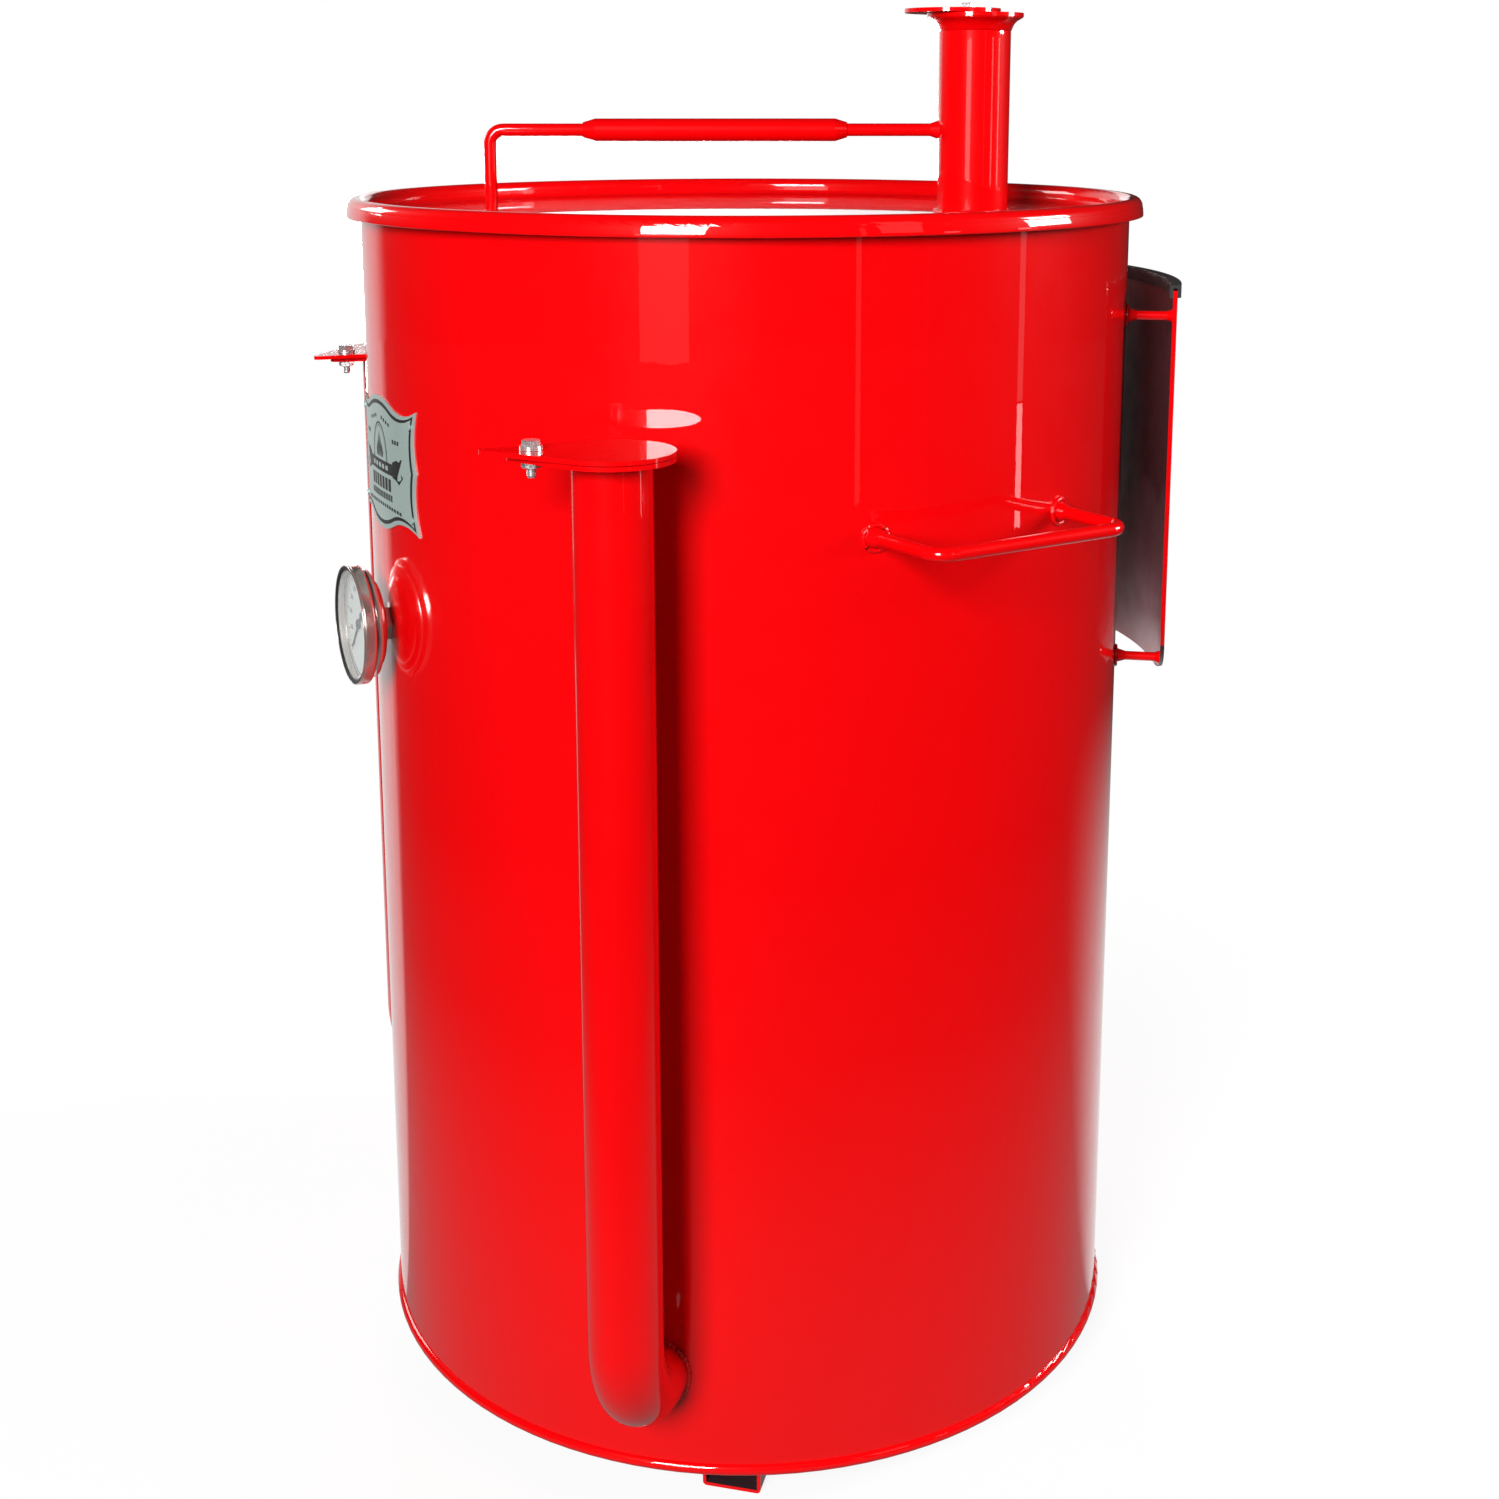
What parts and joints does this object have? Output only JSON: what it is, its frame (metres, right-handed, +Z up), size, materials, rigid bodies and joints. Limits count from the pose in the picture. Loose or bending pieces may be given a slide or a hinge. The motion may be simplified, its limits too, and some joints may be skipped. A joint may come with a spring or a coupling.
{
  "type": "drum smoker",
  "caption": "Upright steel drum cooker with a lift-off lid, exhaust stack, outside intake pipes with swinging dampers, handles, dial thermometer and rear guard.",
  "frame": {"origin": "on the floor under the middle of the object, on the drum's axis", "axes": "+Z up along the drum's axis; the front, with the badge and the thermometer, faces -Y"},
  "size_m": [0.7078, 0.6438, 1.0479],
  "materials": {
    "red_paint": "high gloss powder coat",
    "guard_coat": "satin",
    "trim_rubber": "matt black",
    "cold_steel": "matt high-heat black",
    "stainless": "bright",
    "zinc": "satin plated",
    "badge_metal": "brushed",
    "dial_white": "satin",
    "dial_black": "satin",
    "lens_glass": "clear",
    "grate_wire": "plated wire",
    "raw_steel": "raw"
  },
  "bodies": {
    "drum": {"drum_wall": "red_paint", "drum_floor": "red_paint", "foot_left": "red_paint", "foot_right": "red_paint", "foot_rear": "red_paint", "side_handle_left": "red_paint", "side_handle_right": "red_paint", "intake_pipe_left": "red_paint", "intake_elbow_left": "red_paint", "intake_flange_left": "red_paint", "guard_standoff_lower_left": "red_paint", "guard_standoff_upper_left": "red_paint", "intake_pipe_right": "red_paint", "intake_elbow_right": "red_paint", "intake_flange_right": "red_paint", "guard_standoff_lower_right": "red_paint", "guard_standoff_upper_right": "red_paint", "rear_guard": "guard_coat", "guard_top_trim": "trim_rubber", "intake_pivot_left_bolt": "zinc", "intake_pivot_left_washers": "zinc", "intake_pivot_left_nut": "zinc", "intake_pivot_right_bolt": "zinc", "intake_pivot_right_washers": "zinc", "intake_pivot_right_nut": "zinc", "badge_plate": "badge_metal", "badge_rivets": "badge_metal", "dial_probe": "stainless", "dial_nipple": "stainless", "dial_outer_nut": "stainless", "dial_lock_nut": "stainless", "dial_case": "stainless", "dial_bezel": "stainless", "dial_face": "dial_white", "dial_lens": "lens_glass", "grate_bracket_1": "cold_steel", "grate_bracket_2": "cold_steel", "grate_bracket_3": "cold_steel", "grate_bracket_4": "cold_steel"},
    "intake_damper_right": {"intake_damper_right": "red_paint"},
    "intake_damper_left": {"intake_damper_left": "red_paint"},
    "lid": {"lid_pan": "red_paint", "exhaust_stack": "red_paint", "lid_handle_rod": "red_paint", "lid_handle_grip": "red_paint", "exhaust_flange": "red_paint", "exhaust_pivot_bolt": "zinc", "exhaust_pivot_washers": "zinc", "exhaust_pivot_nut": "zinc"},
    "exhaust_damper": {"exhaust_damper": "red_paint"},
    "grate": {"cooking_grate": "grate_wire"},
    "basket": {"ash_pan": "raw_steel", "basket_legs": "raw_steel", "basket_floor": "raw_steel", "basket_wall": "raw_steel", "basket_handle": "raw_steel"},
    "dial_pointer": {"dial_pointer": "dial_black"}
  },
  "joints": [
    {"name": "intake_damper_right_swing", "type": "hinge", "parent": "drum", "child": "intake_damper_right", "pos_m": [0.25937, -0.25332, 0.7645], "axis": [0, 0, 1], "range_deg": [-100, 0]},
    {"name": "intake_damper_left_swing", "type": "hinge", "parent": "drum", "child": "intake_damper_left", "pos_m": [-0.25937, -0.25332, 0.7645], "axis": [0, 0, 1], "range_deg": [0, 100]},
    {"name": "lid_lift", "type": "slide", "parent": "drum", "child": "lid", "axis": [0, 0, 1], "range_m": [0, 0.35]},
    {"name": "exhaust_damper_swing", "type": "hinge", "parent": "lid", "child": "exhaust_damper", "pos_m": [0.02548, 0.17621, 1.0392], "axis": [0, 0, 1], "range_deg": [-68.5, 21.5]},
    {"name": "grate_lift", "type": "slide", "parent": "drum", "child": "grate", "axis": [0, 0, 1], "range_m": [0, 0.1]},
    {"name": "basket_lift", "type": "slide", "parent": "drum", "child": "basket", "axis": [0, 0, 1], "range_m": [0, 0.2]},
    {"name": "dial_pointer_turn", "type": "hinge", "parent": "drum", "child": "dial_pointer", "pos_m": [0.00809, -0.30889, 0.602], "axis": [-0.0262, 0.9997, 0], "range_deg": [0, 270]}
  ]
}
